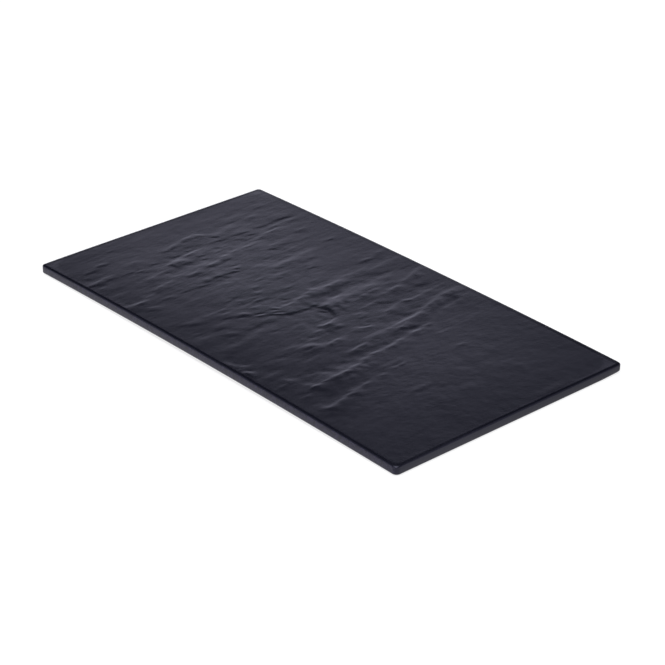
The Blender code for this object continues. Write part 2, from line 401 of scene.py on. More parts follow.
    (7.4, 1.4, ((204.2, 40.5), (205, 46), (206, 52), (206.8, 60), (207.4, 66), (207.8, 70.5))),
    (2.8, 1.8, ((207.6, 72), (208.4, 84), (208.6, 95))),
    (8, 0.9, ((209.2, 60), (210.8, 65), (212.2, 70.4))),
    (4, 0.9, ((212.4, 71), (213.6, 75))),
    (-3, 1.8, ((200, 15.6), (203, 16.4), (206.6, 17.2))),
    (-3.5, 1.5, ((204.4, 19), (205.4, 25), (206.8, 31))),
    (-2.2, 2.2, ((200.4, 4), (201.4, 12))),
    (4, 1.0, ((205.8, 4), (206.4, 11))),
    (4.5, 1.1, ((208, 14), (208.8, 20))),
    (6, 1.0, ((209, 23.6), (210, 26))),
    (4, 1.0, ((209.8, 27), (210.4, 31.5))),
    (-4.9, 1.3, ((217, 55), (216.4, 61), (214, 67))),
    (-5.5, 1.1, ((217.2, 71), (216.6, 77))),
    (-4, 0.7, ((213.2, 69.6), (214.6, 71.4))),
    (-1.6, 1.4, ((219.4, 80), (220.4, 94))),
    (6.5, 0.9, ((197.6, 77.6), (198.3, 81.5), (197, 85), (194.6, 88))),
    (-3.5, 1.0, ((201.2, 87), (199.8, 91.6))),
    (4, 1.2, ((193.6, 64.5), (194.6, 68.5))),
    (3, 0.9, ((196, 90.5), (196.8, 95.6))),
    (4, 1.0, ((182, 70), (183.2, 77))),
    (-4, 1.1, ((188.2, 72), (188.4, 80))),
    # The layer's broken near side, and the flakes below it
    (-11, 0.8, ((162, 86), (165, 84.7), (168, 84.4), (171.4, 85.3), (175.2, 87.4))),
    (-7, 0.7, ((159.4, 87.4), (161.8, 85.8))),
    (5, 0.6, ((163.2, 88.2), (166, 87))),
    (-7, 0.6, ((164.6, 89.8), (167.4, 88.4), (170.4, 87.6))),
    (-8.5, 1.0, ((158, 83.4), (157.6, 87), (156.4, 90.4))),
    (-7, 0.9, ((158, 91), (157.9, 97))),
    (-7, 0.9, ((157.6, 97.5), (157.3, 104))),
    (-7.8, 1.2, ((157.4, 105), (155, 107.6))),
    (-7, 0.6, ((154.6, 109.6), (151.6, 113), (148, 117.4))),
    (13, 0.5, ((153.4, 107.6), (151.2, 111))),
    (-7.5, 0.5, ((150.6, 108.2), (148.8, 111.6))),
    (8, 0.5, ((148.4, 108.6), (146.6, 112))),
    (-5, 0.7, ((146, 107.6), (144.8, 110.6))),
    (12, 0.6, ((146.4, 118), (144.4, 121))),
    (2.5, 1.8, ((152.6, 114), (151.6, 121))),
    (-5, 0.6, ((143.8, 118.4), (142.2, 121))),
    (-5, 0.6, ((147.8, 119.6), (146, 122))),
    (-6, 0.8, ((142.9, 124.2), (140.4, 127.8), (138.6, 131.8))),
    (-4.5, 0.8, ((137.6, 132.6), (136.2, 137), (135.6, 141))),
    (5.5, 0.9, ((140.4, 122.4), (137.4, 125.6), (135, 130))),
    (2.5, 1.0, ((142.4, 129), (139.6, 134.5))),
    (11.5, 0.9, ((177.2, 89), (178.7, 92.6), (179.8, 97.6), (179.6, 102.4))),
    (-7.5, 0.6, ((180.4, 104), (182.4, 103.2))),
    (-4.5, 0.6, ((186.4, 103.2), (190.2, 102))),
    (7.5, 0.9, ((183.1, 104.6), (183.2, 109.4))),
    (3.2, 0.9, ((185.8, 89), (185, 97.5))),
    (-2.8, 1.1, ((189, 90.5), (188.6, 98))),
    (8, 0.9, ((199.7, 101.6), (198.8, 106), (199, 111), (199.7, 115.4))),
    (7, 0.9, ((199, 115.8), (196.6, 118), (193.8, 120.6))),
    (6, 1.6, ((193.2, 122), (192.2, 127.4))),
    (-4.5, 1.0, ((196.8, 120.6), (196.2, 129))),
    (3.2, 0.8, ((198.5, 120), (198.8, 130.5))),
    (-1.1, 2.2, ((202, 116), (202.4, 138))),
    (3, 1.1, ((188.6, 130), (189.8, 137.5))),
    (5.2, 1.1, ((188.9, 113), (189.4, 118.4))),
    (7, 1.0, ((211.2, 95.4), (212.6, 100.4), (214, 106), (214.2, 111.8))),
    (-2, 1.8, ((217.4, 104), (218, 112))),
    (-1.6, 3.5, ((172, 105.5), (176, 109.5))),
    (-2.5, 0.8, ((158.6, 144.6), (150, 155.4))),
    (3, 1.4, ((153.4, 143.6), (149.8, 149))),
    (-3, 1.6, ((155.4, 123), (156.6, 140))),
    (-3.5, 0.9, ((166.6, 122), (166.9, 129))),
    (2.5, 0.9, ((168.2, 125.5), (169, 131))),
    (2.2, 1.6, ((160, 128), (160.6, 138))),
    (2.2, 1.8, ((163, 139), (165, 150), (165.6, 166))),
    (-4, 0.8, ((159.6, 150), (160.4, 151.8))),
    (2.2, 1.5, ((195.8, 142), (196.8, 152))),
    (-3, 0.9, ((193.6, 142), (193.8, 146))),
    (2.8, 1.2, ((206.2, 127), (207.6, 140))),
    (2.8, 1.4, ((206, 157), (206.2, 164))),
    (2, 1.6, ((207, 165), (208, 173))),
    # The longest edge and its branches
    (5.5, 1.2, ((219, 49.5), (219.6, 55.5))),
    (5.5, 1.5, ((219.8, 55.5), (220.4, 62), (220.8, 69))),
    (5.5, 1.3, ((222, 72.5), (223, 78), (224, 85), (225, 94))),
    (6.6, 1.5, ((225.2, 95.5), (225.5, 104))),
    (7, 1.3, ((226, 105), (226.6, 112.5))),
    (2.4, 3.5, ((226.2, 116), (227.4, 132), (228.4, 148))),
    (8.5, 1.0, ((228.1, 113.5), (229, 120), (229.5, 124))),
    (8, 1.0, ((229.8, 125), (230.5, 131))),
    (8.5, 1.4, ((230.8, 132), (231.3, 138.5))),
    (9, 1.0, ((231.2, 139.5), (231.6, 146.5))),
    (9, 1.3, ((232.1, 148), (231.9, 152.6))),
    (6, 0.8, ((231, 150.6), (228.4, 152.2), (227, 155.8))),
    (4.5, 0.8, ((231.8, 152), (232.8, 156))),
    (3.5, 0.8, ((232, 149.6), (234.6, 146.6))),
    (4, 1.0, ((230, 134.4), (226, 136.6), (221.6, 139))),
    (4, 1.0, ((221.6, 140), (220.6, 149))),
    (6.5, 1.0, ((220.4, 155), (217.6, 157.6), (214.4, 161))),
    (4, 0.9, ((228.4, 126.6), (222.6, 127.4))),
    (2.5, 1.0, ((219.6, 160), (220.4, 170))),
    (-3.5, 1.0, ((232.6, 125), (234.4, 128.4))),
    (-3.5, 0.8, ((232.8, 139), (233.2, 147))),
    (-3.5, 0.8, ((233.6, 151), (234.2, 154.6))),
    # The last edges before the smooth right end
    (2.5, 0.9, ((238.6, 90), (239.6, 99), (240.2, 109))),
    (-3, 0.7, ((243, 95), (243.2, 104))),
    (4.5, 1.0, ((244.2, 94), (244.8, 106))),
    (-3, 0.8, ((246.8, 94.5), (247, 99))),
    (3.5, 1.0, ((246, 109), (247, 117))),
    (5.5, 1.0, ((248.6, 124), (249.2, 131))),
    (6, 1.3, ((249.8, 133), (249.4, 138.5))),
    (4, 0.9, ((249.2, 138.5), (248.2, 142))),
    (9, 1.1, ((250.8, 141), (251.8, 146.4))),
    (8, 1.1, ((252.2, 147), (253.6, 152), (254.6, 156))),
    (7.5, 1.6, ((254.8, 157), (255.2, 163))),
    (4, 1.0, ((255, 162), (252.6, 163.6))),
    (-3.5, 0.8, ((251.6, 130), (252.4, 135))),
    (2, 1.0, ((249.6, 148), (250, 158))),
    (5.2, 0.9, ((237.2, 160.4), (238, 166))),
    (-4, 0.7, ((236, 158.6), (236.8, 160.6))),
    (-2.5, 0.9, ((240.6, 124), (243, 131))),
    (2.2, 1.5, ((271, 99), (272, 118))),
    (-2, 1.5, ((274, 99), (274.2, 116))),
    (1.5, 2.0, ((281, 44), (281.2, 58))),
    (1.5, 1.8, ((288, 42), (288.2, 51))),
    (1.5, 2.0, ((286.5, 81), (286.8, 92))),
    (2.2, 1.6, ((228, 16), (228.8, 24))),
    (2, 1.8, ((229.6, 28), (230, 34))),
    (2.5, 1.3, ((231, 46), (232.2, 56))),
    (2, 1.2, ((242, 41), (242.2, 47))),
    (2.5, 1.1, ((249, 52), (249.4, 58))),
    (-2, 1.1, ((252, 54), (252.2, 58))),
    (2, 2.0, ((318.5, 40), (319, 62))),
    # Chips along the near edge
    (12, 0.6, ((175.4, 174.6), (180, 172.6), (186.4, 171))),
    (11, 0.8, ((187, 168), (190, 167))),
    (12, 0.7, ((189.8, 172.6), (190.6, 174.4))),
    (15, 0.8, ((192.6, 173.6), (195.4, 171), (198.4, 168))),
)
EDGE_SPREAD = (0.9956, 0.991)  # shares by which the listed places are drawn in towards the middle
EDGE_SHIFT = (0.4, 0.6)  # and by which they are then moved right and near
RISE_GAIN = 1.5  # by which the listed tilts above 0 are made steeper
FALL_GAIN = 1.7  # and those below 0
EDGE_WIDEN = 1.25  # by which the listed half widths are made wider
PATH_STEP = 0.5  # between the points that an edge is measured from
EDGE_REACH = 12.0  # how far from an edge its step still counts
EDGE_MARGIN = 2.2 * EDGE_REACH  # beyond which it is left out
EDGE_TAPER = 4.0  # over which an edge gains its height from either end
EDGE_END_SHARE = 0.1  # of its height that it has at its very ends
BROW_WIDTH = 3.0  # half width of the low ridge that an edge's crest stands on
BROW_SHARE = 0.38  # how high that ridge is for its edge's tilt
CAMERA_SIDE = (  # towards the camera, right and near
    math.sin(math.radians(VIEW_AZIMUTH)),
    math.cos(math.radians(VIEW_AZIMUTH)),
)

# The slate's random humps: their height, and their size in x and in y
RELIEF_SEED = 7
WANDER = (((0.2, 4, 4), (0.12, 1.8, 1.8)), ((0.3, 4, 4),))  # of an edge's course, in x and in y
BREAKS = (0.15, 2.5, 2.5)  # in an edge's height, as shares of it
GRAIN_LAYERS = (0.022, 4.5, 18)
GRAIN_FINE = (0.009, 1.3, 5)
GRAIN_SLANT = 0.11  # how far the grain runs right for each millimetre towards the near edge
GRAIN_FADE = (195, 280, 0.65)  # from and to which x it grows weaker, and by which share
MOTTLE = ((0.007, 1.4, 1.8), (0.009, 3.2, 3.2))
MOTTLE_GAIN = (225, 265, 0.5)  # where it grows stronger, in the same way
MOTTLE_FADE = (275, 305, 0.25)  # and weaker
SWELL = (0.014, 8, 8)
LAYER_STEPS = 2.2  # in a height of 1
LAYER_RISE = (0.35, 0.65)  # shares of a step between which it rises
HUMP_SPREAD = 0.48  # of soft_noise, before it is brought to about 1

# The slate face's low dome
DOME_HEIGHT = 0.35
DOME_RISE = (110, 120)  # over which it rises from the left end and from the far edge
NEAR_FALL = (128, 48, 0.31)  # where it starts to fall towards the near edge, over what length and how far
RIGHT_FALL = (265, 60, 0.25)  # and towards the right end
RIM_RISE = (1.4, 4)  # from the edge, over which the slate gains its full height
RIM_SHARE = 0.4  # of its height that it has at the edge


class Wire:
    """A node tree and one of its outputs. Sums and products written on it add Math nodes."""

    def __init__(self, tree, output=None):
        self.tree = tree
        self.output = output

    def node(self, kind, settings=None, inputs=None, output=0):
        """Adds a node, with its settings first and then its sockets' values or links."""
        made = self.tree.nodes.new(kind)
        for name, value in (settings or {}).items():
            if name == "stops":
                self.set_stops(made.color_ramp, value)
            else:
                setattr(made, name, value)
        for name, value in (inputs or {}).items():
            if isinstance(value, Wire):
                self.tree.links.new(value.output, made.inputs[name])
            else:
                made.inputs[name].default_value = value
        return Wire(self.tree, made.outputs[output] if made.outputs else None)

    @staticmethod
    def set_stops(ramp, stops):
        while len(ramp.elements) < len(stops):
            ramp.elements.new(1)
        for element, (position, colour) in zip(ramp.elements, stops):
            element.position = position
            element.color = (*colour, 1)

    def math(self, operation, *values):
        return self.node("ShaderNodeMath", {"operation": operation}, dict(enumerate(values)))

    def __add__(self, other):
        return self.math("ADD", self, other)

    def __radd__(self, other):
        return self.math("ADD", other, self)

    def __sub__(self, other):
        return self.math("SUBTRACT", self, other)

    def __rsub__(self, other):
        return self.math("SUBTRACT", other, self)

    def __mul__(self, other):
        return self.math("MULTIPLY", self, other)

    def __rmul__(self, other):
        return self.math("MULTIPLY", other, self)

    def size(self):
        return self.math("ABSOLUTE", self)

    def dot(self, direction):
        inputs = {0: self, 1: direction}
        return self.node("ShaderNodeVectorMath", {"operation": "DOT_PRODUCT"}, inputs, output="Value")

    def ease(self, start, end):
        """0 below start, 1 above end, and a smooth rise between them."""
        inputs = {"Value": self, "From Min": start, "From Max": end}
        return self.node("ShaderNodeMapRange", {"interpolation_type": "SMOOTHSTEP"}, inputs)

    def noise(self, scale, detail=2.0, roughness=0.5):
        """Noise from 0 to 1 on this wire's coordinates, with that many bumps to the metre."""
        inputs = {"Vector": self, "Scale": scale, "Detail": detail, "Roughness": roughness}
        return self.node("ShaderNodeTexNoise", inputs=inputs)

    def blend(self, low, high):
        """The colour low where this is 0 and high where it is 1."""
        low, high = (colour if isinstance(colour, Wire) else (*colour, 1) for colour in (low, high))
        inputs = {"Factor": self, "A": low, "B": high}
        return self.node("ShaderNodeMix", {"data_type": "RGBA"}, inputs, output="Result")

    def bump(self, strength, distance):
        """The normal of a surface on which this wire gives the height."""
        inputs = {"Strength": strength, "Distance": distance, "Height": self}
        return self.node("ShaderNodeBump", inputs=inputs)


def new_material(name):
    """A material with no nodes yet, and a wire that adds them."""
    material = bpy.data.materials.new(name)
    material.use_nodes = True
    material.node_tree.nodes.clear()
    return material, Wire(material.node_tree)


# The slate relief


def ease(values, start, end, rise=1):
    """0 before start, the whole rise after end, and a smooth way between them."""
    t = np.clip((values - start) / (end - start), 0, 1)
    return rise * (t * t * (3 - 2 * t))


def fall_off(values, start, length, depth):
    """0 before start and from there a growing fall, down to the whole depth."""
    return depth * np.clip((values - start) / length, 0, 1) ** 2


def smooth_path(points):
    """Points about PATH_STEP apart on a smooth curve through the given ones."""
    knots = np.array(points, float)
    ends = (2 * knots[:1] - knots[1:2], 2 * knots[-1:] - knots[-2:-1])
    knots = np.concatenate((ends[0], knots, ends[1]))
    path = []
    for before, start, end, after in zip(knots, knots[1:], knots[2:], knots[3:]):
        steps = max(2, round(float(np.hypot(*(end - start))) / PATH_STEP))
        t = np.arange(steps)[:, None] / steps
        path.append(
            start
            + 0.5 * t * (end - before)
            + t**2 * (before - 2.5 * start + 2 * end - 0.5 * after)
            + t**3 * (1.5 * (start - end) + 0.5 * (after - before))
        )
    return np.concatenate((*path, knots[-2:-1]))


def edge_step(x, y, tilt, half_width, points):
    """Height at x and y of one step in the slate, up on one side of its edge and down on the other.

    Each point of the edge tilts the ground round it, and that fades with the distance from it.
    """
    slope = math.tan(math.radians(tilt * (RISE_GAIN if tilt > 0 else FALL_GAIN)))
    blur = (EDGE_WIDEN * half_width) ** 2
    path = smooth_path(points)
    run = np.gradient(path, axis=0)
    across = np.stack((run[:, 1], -run[:, 0]), axis=1)
    if (across @ CAMERA_SIDE).sum() < 0:
        across = -across
    walked = np.concatenate(([0], np.cumsum(np.hypot(*np.diff(path, axis=0).T))))
    from_end = np.minimum(walked, walked[-1] - walked)
    taper = min(EDGE_TAPER, walked[-1] / 2)
    share = EDGE_END_SHARE + ease(from_end, 0, taper, 1 - EDGE_END_SHARE)
    spans = share * np.hypot(*run.T)
    between = np.sum((path[:, None] - path[None]) ** 2, axis=2)
    steepest = np.max(np.sum(spans / (between + blur), axis=1))
    step = np.zeros(len(x))
    brow = np.zeros(len(x))
    closest = np.full(len(x), np.inf)
    for (path_x, path_y), (across_x, across_y), weight, span in zip(path, across, share, spans):
        gap = (x - path_x) ** 2 + (y - path_y) ** 2
        step += weight * ((x - path_x) * across_x + (y - path_y) * across_y) / (gap + blur)
        brow += span / (gap + BROW_WIDTH**2)
        closest = np.minimum(closest, gap)
    if tilt > 0:
        step += BROW_SHARE * BROW_WIDTH * brow
    return slope / steepest * step * np.exp(-closest / EDGE_REACH**2)


def spline_weights(t):
    """What the four places of a lattice round t count for in a smooth curve."""
    return (
        (1 - t) ** 3 / 6,
        (3 * t**3 - 6 * t**2 + 4) / 6,
        (1 + 3 * t + 3 * t**2 - 3 * t**3) / 6,
        t**3 / 6,
    )


def soft_noise(rng, x, y, height, across, along):
    """Smooth random humps of about that height, and of that size in x and in y."""
    columns = (x - x.min()) / across
    rows = (y - y.min()) / along
    lattice = rng.standard_normal((int(columns.max()) + 4, int(rows.max()) + 4))
    left = columns.astype(int)
    top = rows.astype(int)
    total = 0
    for i, column_weight in enumerate(spline_weights(columns - left)):
        for j, row_weight in enumerate(spline_weights(rows - top)):
            total = total + column_weight * row_weight * lattice[left + i, top + j]
    return height * (total / HUMP_SPREAD)


def layers(rng, x, y, height, across, along):
    """Humps like those of soft_noise that go up and down in steps, as split layers do."""
    level = soft_noise(rng, x, y, LAYER_STEPS, across, along)
    whole = np.floor(level)
    return height * ((whole + ease(level - whole, *LAYER_RISE)) / LAYER_STEPS)


def slate_edges(rng, x, y, set_back):
    """Height of all the listed edges, moved away from the camera by set_back."""
    course = []
    for axis, (values, side) in enumerate(((x, LENGTH), (y, WIDTH))):
        middle = side / MM / 2
        moved = values - middle - EDGE_SHIFT[axis] - CAMERA_SIDE[axis] * set_back
        listed = middle + moved / EDGE_SPREAD[axis]
        for humps in WANDER[axis]:
            listed = listed + soft_noise(rng, x, y, *humps)
        course.append(listed)
    broken = 1 + soft_noise(rng, x, y, *BREAKS)
    height = np.zeros(len(x))
    for tilt, half_width, points in SLATE_EDGES:
        low = np.min(points, axis=0) - EDGE_MARGIN
        high = np.max(points, axis=0) + EDGE_MARGIN
        near = (x > low[0]) & (x < high[0]) & (y > low[1]) & (y < high[1])
        step = edge_step(course[0][near], course[1][near], tilt, half_width, points)
        height[near] += broken[near] * step
    return height


def slate_relief(x, y):
    """Height in metres of the slate face above the plain moulding, at x and y in millimetres."""
    rng = np.random.default_rng(RELIEF_SEED)
    dome = ease(x, 0, DOME_RISE[0], DOME_HEIGHT) * ease(y, 0, DOME_RISE[1])
    dome = dome - fall_off(y, *NEAR_FALL) - fall_off(x, *RIGHT_FALL)
    height = slate_edges(rng, x, y, set_back=dome / math.tan(math.radians(VIEW_ELEVATION)))
    grain_x = x - GRAIN_SLANT * y
    grain = layers(rng, grain_x, y, *GRAIN_LAYERS) + soft_noise(rng, grain_x, y, *GRAIN_FINE)
    grain = (1 - ease(x, *GRAIN_FADE)) * grain
    mottle = sum(soft_noise(rng, x, y, *humps) for humps in MOTTLE)
    mottle = mottle * (1 + ease(x, *MOTTLE_GAIN) - ease(x, *MOTTLE_FADE))
    height = height + grain + mottle + soft_noise(rng, x, y, *SWELL)
    from_edge = np.minimum(np.minimum(x, LENGTH / MM - x), np.minimum(y, WIDTH / MM - y))
    return MM * (height * (RIM_SHARE + ease(from_edge, *RIM_RISE, 1 - RIM_SHARE)) + dome)


# The platter's moulding


def crown_at(x):
    """How far the arched moulding stands above its short ends at x."""
    return CROWN * (1 - (2 * x / LENGTH) ** 2)


def plan_loop(inset, corner_radii, long_shares, end_shares):
    """Points round the outline moved in by inset, anticlockwise from the left of the near left corner."""
    turn = np.linspace(0, math.pi / 2, CORNER_STEPS + 1)
    signs = np.array(((-1, -1), (1, -1), (1, 1), (-1, 1)))
    radii = np.broadcast_to(corner_radii, 4)[:, None]
    centres = signs * (np.array((LENGTH, WIDTH)) / 2 - inset - radii)
    arcs = []
    for quarter, (centre, radius) in enumerate(zip(centres, radii)):
        angle = math.pi * (1 + quarter / 2) + turn
        arcs.append(centre + radius * np.stack((np.cos(angle), np.sin(angle)), axis=1))
    forth = (long_shares, end_shares)
    back = (1 - long_shares[::-1], 1 - end_shares[::-1])
    loop = []
    for arc, after, shares in zip(arcs, arcs[1:] + arcs[:1], forth + back):
        loop += [arc, arc[-1] + shares[:, None] * (after[0] - arc[-1])]
    return np.concatenate(loop)


def border(cells):
    """The border of an array of columns and rows, in the order of plan_loop."""
    return np.concatenate((cells[:, 0], cells[-1, 1:-1], cells[::-1, -1], cells[0, -2:0:-1]))


def fill_loop(loop, end_shares):
    """Columns of points across the inside of a plan loop, whose border is that loop."""
    columns = (len(loop) - 2 * len(end_shares)) // 2
    near = loop[:columns]
    far = loop[columns + len(end_shares) : 2 * columns + len(end_shares)][::-1]
    shares = np.concatenate(([0], end_shares, [1]))[None, :, None]
    return near[:, None] * (1 - shares) + far[:, None] * shares


def quads(cells):
    """The faces between neighbouring columns and rows, facing up."""
    corners = (cells[:-1, :-1], cells[1:, :-1], cells[1:, 1:], cells[:-1, 1:])
    return np.stack([corner.ravel() for corner in corners], axis=1).tolist()


class Moulding:
    """Points and faces of a closed mesh that is built loop by loop."""

    def __init__(self):
        self.points = []
        self.faces = []
        self.count = 0

    def add_points(self, plan, height):
        """Adds points at these plan places and heights, and returns their numbers."""
        start = self.count
        self.points.append(np.concatenate((plan, np.reshape(height, (-1, 1))), axis=1))
        self.count += len(plan)
        return np.arange(start, self.count)

    def join(self, upper, lower):
        """Faces from one loop to the next, which has as many points."""
        strips = (upper, lower, np.roll(lower, -1), np.roll(upper, -1))
        self.faces += np.stack(strips, axis=1).tolist()

    def join_coarser(self, upper, kept, lower):
        """Faces from a fine loop to one that keeps only the named points of it."""
        for place, start in enumerate(kept):
            end = kept[(place + 1) % len(kept)]
            span = (end - start) % len(upper)
            between = [upper[(start + step) % len(upper)] for step in range(span, 0, -1)]
            self.faces.append([upper[start], lower[place], lower[(place + 1) % len(kept)], *between])

    def mesh(self, name):
        mesh = bpy.data.meshes.new(name)
        mesh.from_pydata(np.concatenate(self.points).tolist(), [], self.faces)
        mesh.validate()
        return mesh


def stations(steps, crowding):
    """Shares of a side, as many as steps, that lie closer together where the crowding is greater."""
    shares = np.linspace(0, 1, 2001)
    filled = np.cumsum(crowding(shares))
    filled = (filled - filled[0]) / (filled[-1] - filled[0])
    return np.interp(np.arange(1, steps + 1) / (steps + 1), filled, shares)


def arc_steps(steps):
    """Angles of a quarter turn, without its start."""
    return np.linspace(0, math.pi / 2, steps + 1)[1:]


def add_slate_face(body, long_shares, end_shares):
    """Adds the slate face and its rounded rim, and returns the rim's last loop."""
    top = END_CLEARANCE + THICKNESS
    loop = plan_loop(TOP_EDGE_RADIUS, TOP_CORNER_RADII, long_shares, end_shares)
    face = fill_loop(loop, end_shares)
    plan = face.reshape(-1, 2)
    relief = slate_relief((plan[:, 0] + LENGTH / 2) / MM, (WIDTH / 2 - plan[:, 1]) / MM)
    cells = body.add_points(plan, top + crown_at(plan[:, 0]) + relief).reshape(face.shape[:2])
    body.faces += quads(cells)
    last = border(cells)
    rim_relief = border(relief.reshape(cells.shape))
    for angle in arc_steps(EDGE_STEPS):
        outwards = math.sin(angle)
        drop = TOP_EDGE_DROP * (1 - math.cos(angle))
        radii = TOP_CORNER_RADII + outwards * (CORNER_RADII - TOP_CORNER_RADII)
        loop = plan_loop(TOP_EDGE_RADIUS * (1 - outwards), radii, long_shares, end_shares)
        ring = body.add_points(loop, top - drop + crown_at(loop[:, 0]) + rim_relief * math.cos(angle))
        body.join(last, ring)
        last = ring
    return last


def kept_places(long_kept, end_kept):
    """Places in a plan loop of its corners and of the stations that are kept along its sides."""
    corner = CORNER_STEPS + 1
    kept = []
    start = 0
    for side_steps, side_kept in ((LONG_STEPS, long_kept), (END_STEPS, end_kept)) * 2:
        side_kept = side_kept if len(kept) < 2 else side_steps - 1 - side_kept[::-1]
        kept.append(np.concatenate((np.arange(corner), corner + side_kept)) + start)
        start += corner + side_steps
    return np.concatenate(kept)


def underside_profile():
    """Inset, corner radii, rise and wear of each loop from the bottom of the wall to the recess's floor."""
    profile = [(0, CORNER_RADII, BOTTOM_EDGE_RADIUS, WORN_RISE)]
    for angle in arc_steps(EDGE_STEPS):
        inwards = 1 - math.cos(angle)
        radii = CORNER_RADII + inwards * (BASE_CORNER_RADII - CORNER_RADII)
        rise = BOTTOM_EDGE_RADIUS * (1 - math.sin(angle))
        profile.append((BOTTOM_EDGE_RADIUS * inwards, radii, rise, WORN_RISE))
    profile.append((BASE_LAND, RECESS_CORNER_RADIUS, 0, 0))
    profile.append((BASE_LAND, RECESS_CORNER_RADIUS, RECESS_DEPTH - RECESS_FILLET, 0))
    for angle in arc_steps(EDGE_STEPS):
        inset = RECESS_FILLET * (1 - math.cos(angle))
        rise = RECESS_DEPTH - RECESS_FILLET * (1 - math.sin(angle))
        profile.append((BASE_LAND + inset, RECESS_CORNER_RADIUS - inset, rise, 0))
    return profile


def add_underside(body, rim, long_shares, end_shares):
    """Adds the wall, the land and the recess below the rim, with fewer stations than the slate face has."""
    long_kept = np.arange(COARSE - 1, LONG_STEPS, COARSE)
    end_kept = np.arange(COARSE - 1, END_STEPS, COARSE)
    kept_shares = (long_shares[long_kept], end_shares[end_kept])

    def add_ring(inset, corner_radii, rise, worn):
        loop = plan_loop(inset, corner_radii, *kept_shares)
        from_corner = np.hypot(*(loop - (LENGTH / 2, WIDTH / 2)).T)
        wear = worn * np.exp(-((from_corner / WORN_REACH) ** 2))
        return body.add_points(loop, END_CLEARANCE + rise + crown_at(loop[:, 0]) + wear)

    ring = add_ring(0, CORNER_RADII, THICKNESS / 2, 0)
    body.join_coarser(rim, kept_places(long_kept, end_kept), ring)
    for inset, corner_radii, rise, worn in underside_profile():
        last = ring
        ring = add_ring(inset, corner_radii, rise, worn)
        body.join(last, ring)

    inside = fill_loop(plan_loop(inset, corner_radii, *kept_shares), kept_shares[1])
    plan = inside[1:-1, 1:-1].reshape(-1, 2)
    floor = body.add_points(plan, END_CLEARANCE + RECESS_DEPTH + crown_at(plan[:, 0]))
    cells = np.zeros(inside.shape[:2], int)
    cells[1:-1, 1:-1] = floor.reshape(cells[1:-1, 1:-1].shape)
    np.put(cells, border(np.arange(cells.size).reshape(cells.shape)), ring)
    body.faces += [face[::-1] for face in quads(cells)]


def make_platter_mesh():
    """The arched moulding, with its relief above and its recess below."""

    def crowding_across(share):
        return 1 + DENSER * (ease(share, *DENSE_START) - ease(share, *DENSE_END))

    long_shares = stations(LONG_STEPS, lambda share: 1 - ease(share, *SPARSE_RIGHT))
    end_shares = stations(END_STEPS, crowding_across)
    body = Moulding()
    rim = add_slate_face(body, long_shares, end_shares)
    add_underside(body, rim, long_shares, end_shares)
    return body.mesh("slate_platter_body")


def turned_mesh(name, profile):
    """A solid turned about the Z axis from (radius, height) points that start and end on the axis."""
    body = Moulding()
    turn = np.linspace(0, 2 * math.pi, ROUND_STEPS, endpoint=False)
    around = np.stack((np.cos(turn), np.sin(turn)), axis=1)
    first = body.add_points(np.zeros((1, 2)), profile[0][1])
    rings = []
    for radius, height in profile[1:-1]:
        rings.append(body.add_points(radius * around, np.full(ROUND_STEPS, height)))
    last = body.add_points(np.zeros((1, 2)), profile[-1][1])
    for upper, lower in zip(rings, rings[1:]):
        body.join(upper, lower)
    for place in range(ROUND_STEPS):
        after = (place + 1) % ROUND_STEPS
        body.faces.append([first[0], rings[0][place], rings[0][after]])
        body.faces.append([last[0], rings[-1][after], rings[-1][place]])
    return body.mesh(name)


def cut_pockets(mesh):
    """The moulding's mesh with the four round foot pockets sunk into its underside."""
    below = -MM
    profile = ((0, POCKET_FLOOR), (POCKET_RADIUS, POCKET_FLOOR), (POCKET_RADIUS, below), (0, below))
    body = bpy.data.objects.new("uncut_body", mesh)
    bpy.context.scene.collection.objects.link(body)
    helpers = [body]
    for place, centre in FOOT_CENTRES.items():
        cutter = bpy.data.objects.new(f"pocket_{place}", turned_mesh(f"pocket_{place}", profile))
        cutter.location = (*centre, 0)
        bpy.context.scene.collection.objects.link(cutter)
        cut = body.modifiers.new(cutter.name, "BOOLEAN")
        cut.operation = "DIFFERENCE"
        cut.object = cutter
        helpers.append(cutter)
    finished = body.evaluated_get(bpy.context.evaluated_depsgraph_get())
    result = bpy.data.meshes.new_from_object(finished)
    for helper in helpers:
        bpy.data.objects.remove(helper)
    return result


def foot_profile(height, radius):
    """A silicone button from the top down: round shoulder, upright side, round toe and a ribbed sole."""
    edge = FOOT_EDGE_RADIUS
    turns = [(1 - math.sin(angle), 1 - math.cos(angle)) for angle in (0, *arc_steps(FOOT_EDGE_STEPS))]
    shoulder = [(radius - edge * inwards, height - edge * drop) for inwards, drop in turns]
    toe = [(radius - edge * inwards, edge * rise) for rise, inwards in turns]
    sole = []
    for outer, inner in GROOVE_RADII:
        floor = ((outer - GROOVE_BEVEL, GROOVE_DEPTH), (inner + GROOVE_BEVEL, GROOVE_DEPTH))
        sole += [(outer, 0), *floor, (inner, 0)]
    return [(0, height), *shoulder, *toe, *sole, (0, 0)]


def add_piece(name, mesh, material, node):
    """Puts a finished mesh in the scene as the piece that stands for a CAD node."""
    mesh.shade_smooth()
    mesh.set_sharp_from_angle(angle=SHARP_ANGLE)
    mesh.materials.clear()
    mesh.materials.append(material)
    piece = bpy.data.objects.new(name, mesh)
    bpy.context.scene.collection.objects.link(piece)
    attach(piece, "root")
    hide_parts(node)


# Finishes


